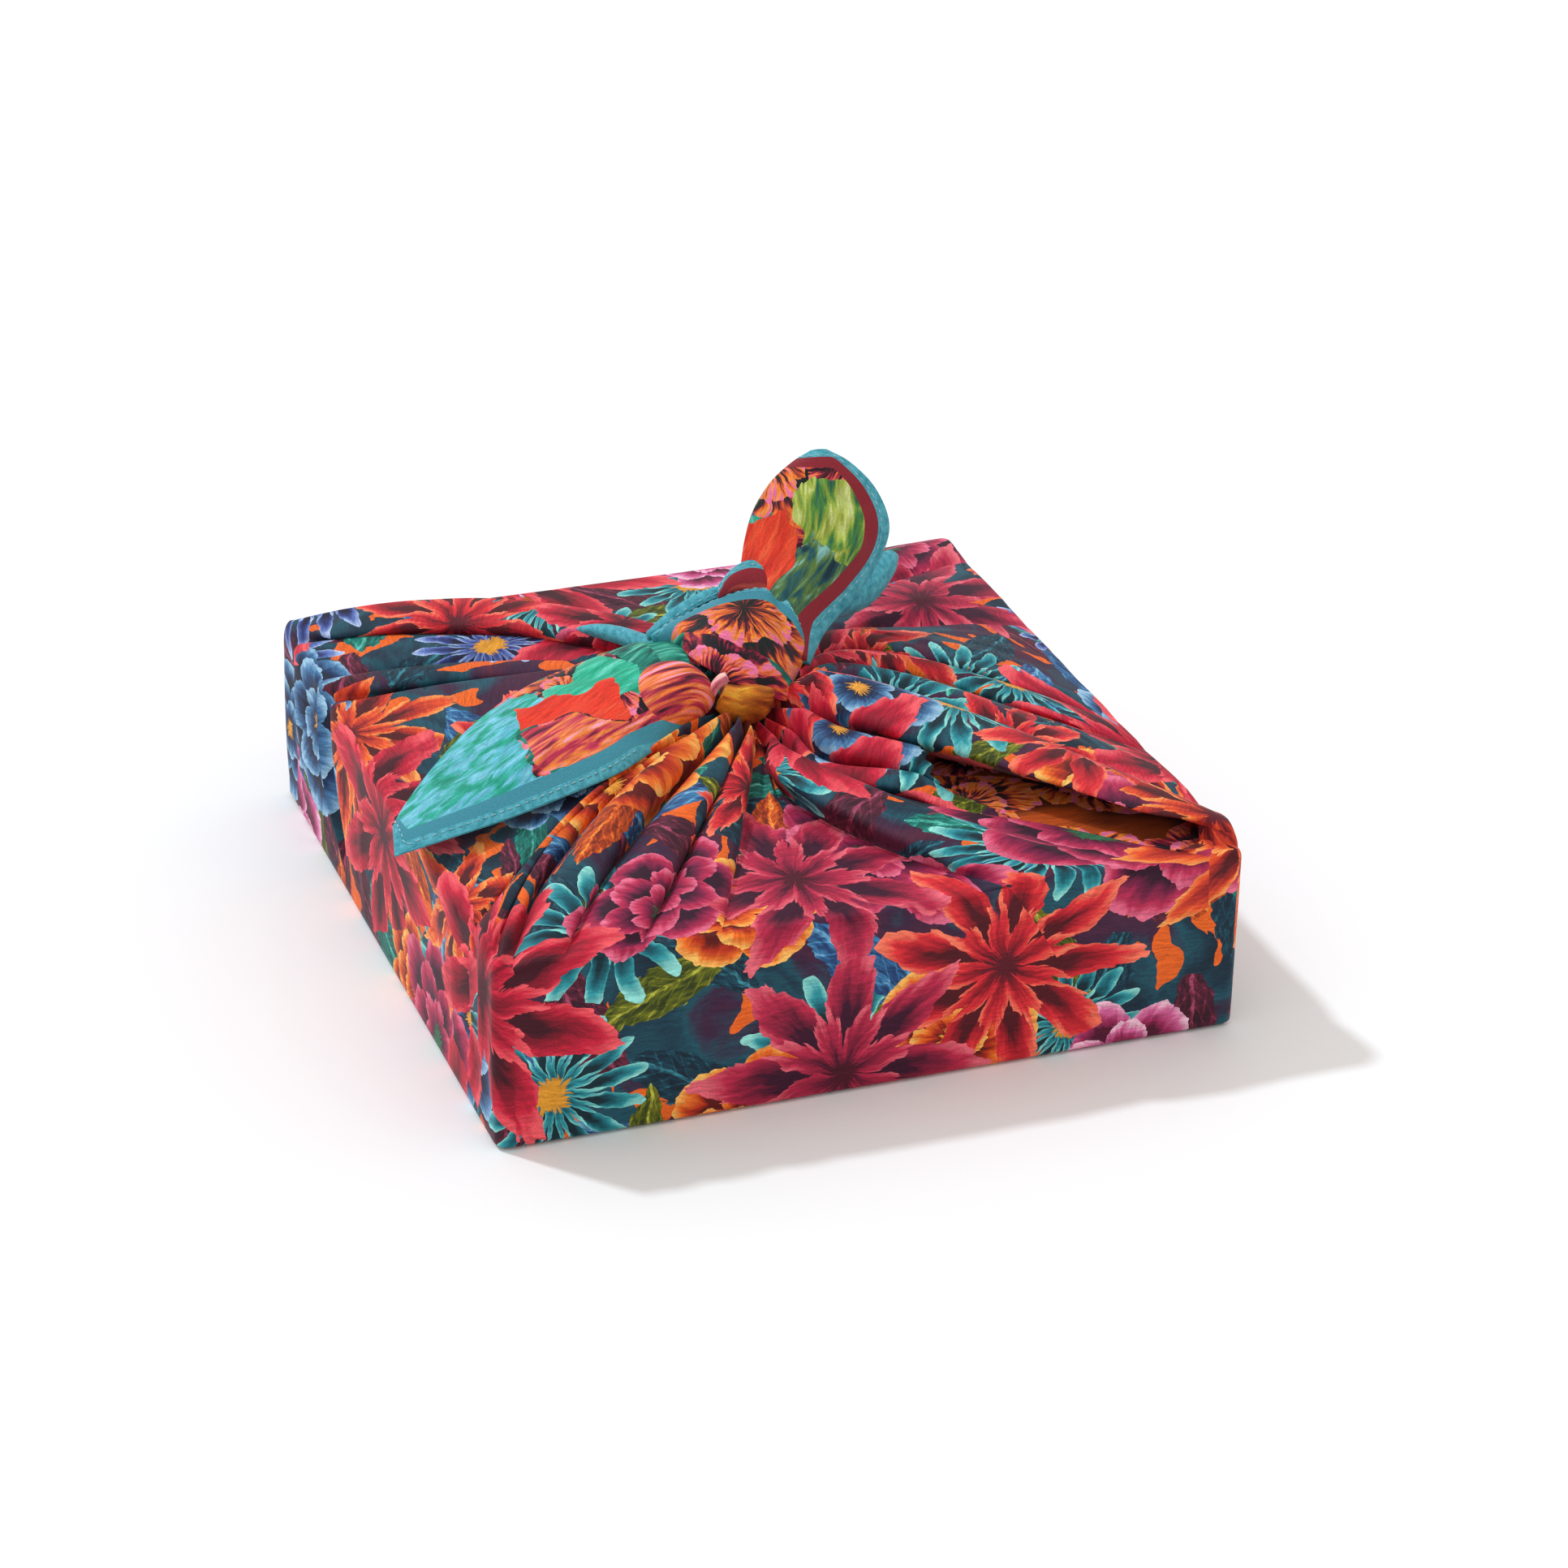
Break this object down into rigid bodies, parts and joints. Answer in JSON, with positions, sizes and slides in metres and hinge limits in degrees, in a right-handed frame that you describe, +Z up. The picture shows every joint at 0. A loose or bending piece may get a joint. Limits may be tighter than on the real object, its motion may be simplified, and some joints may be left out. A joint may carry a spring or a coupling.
{
  "type": "tied furoshiki wrap",
  "caption": "Printed square cloth folded around a flat box and tied on top in a reef knot, with pleats fanning from the knot and two free cloth corners.",
  "frame": {"origin": "centre of the flat underside of the wrap's body, on the surface that it stands on", "axes": "+Z up, to the knot; -Y towards the long front face of the picture, with the free cloth corner that hangs over the pleats; +X towards the right-hand side, where the mouth between the pleats is"},
  "size_m": [0.2629, 0.2554, 0.14],
  "materials": {
    "cloth": "satin"
  },
  "bodies": {
    "root": {"cloth": "cloth"}
  },
  "joints": []
}
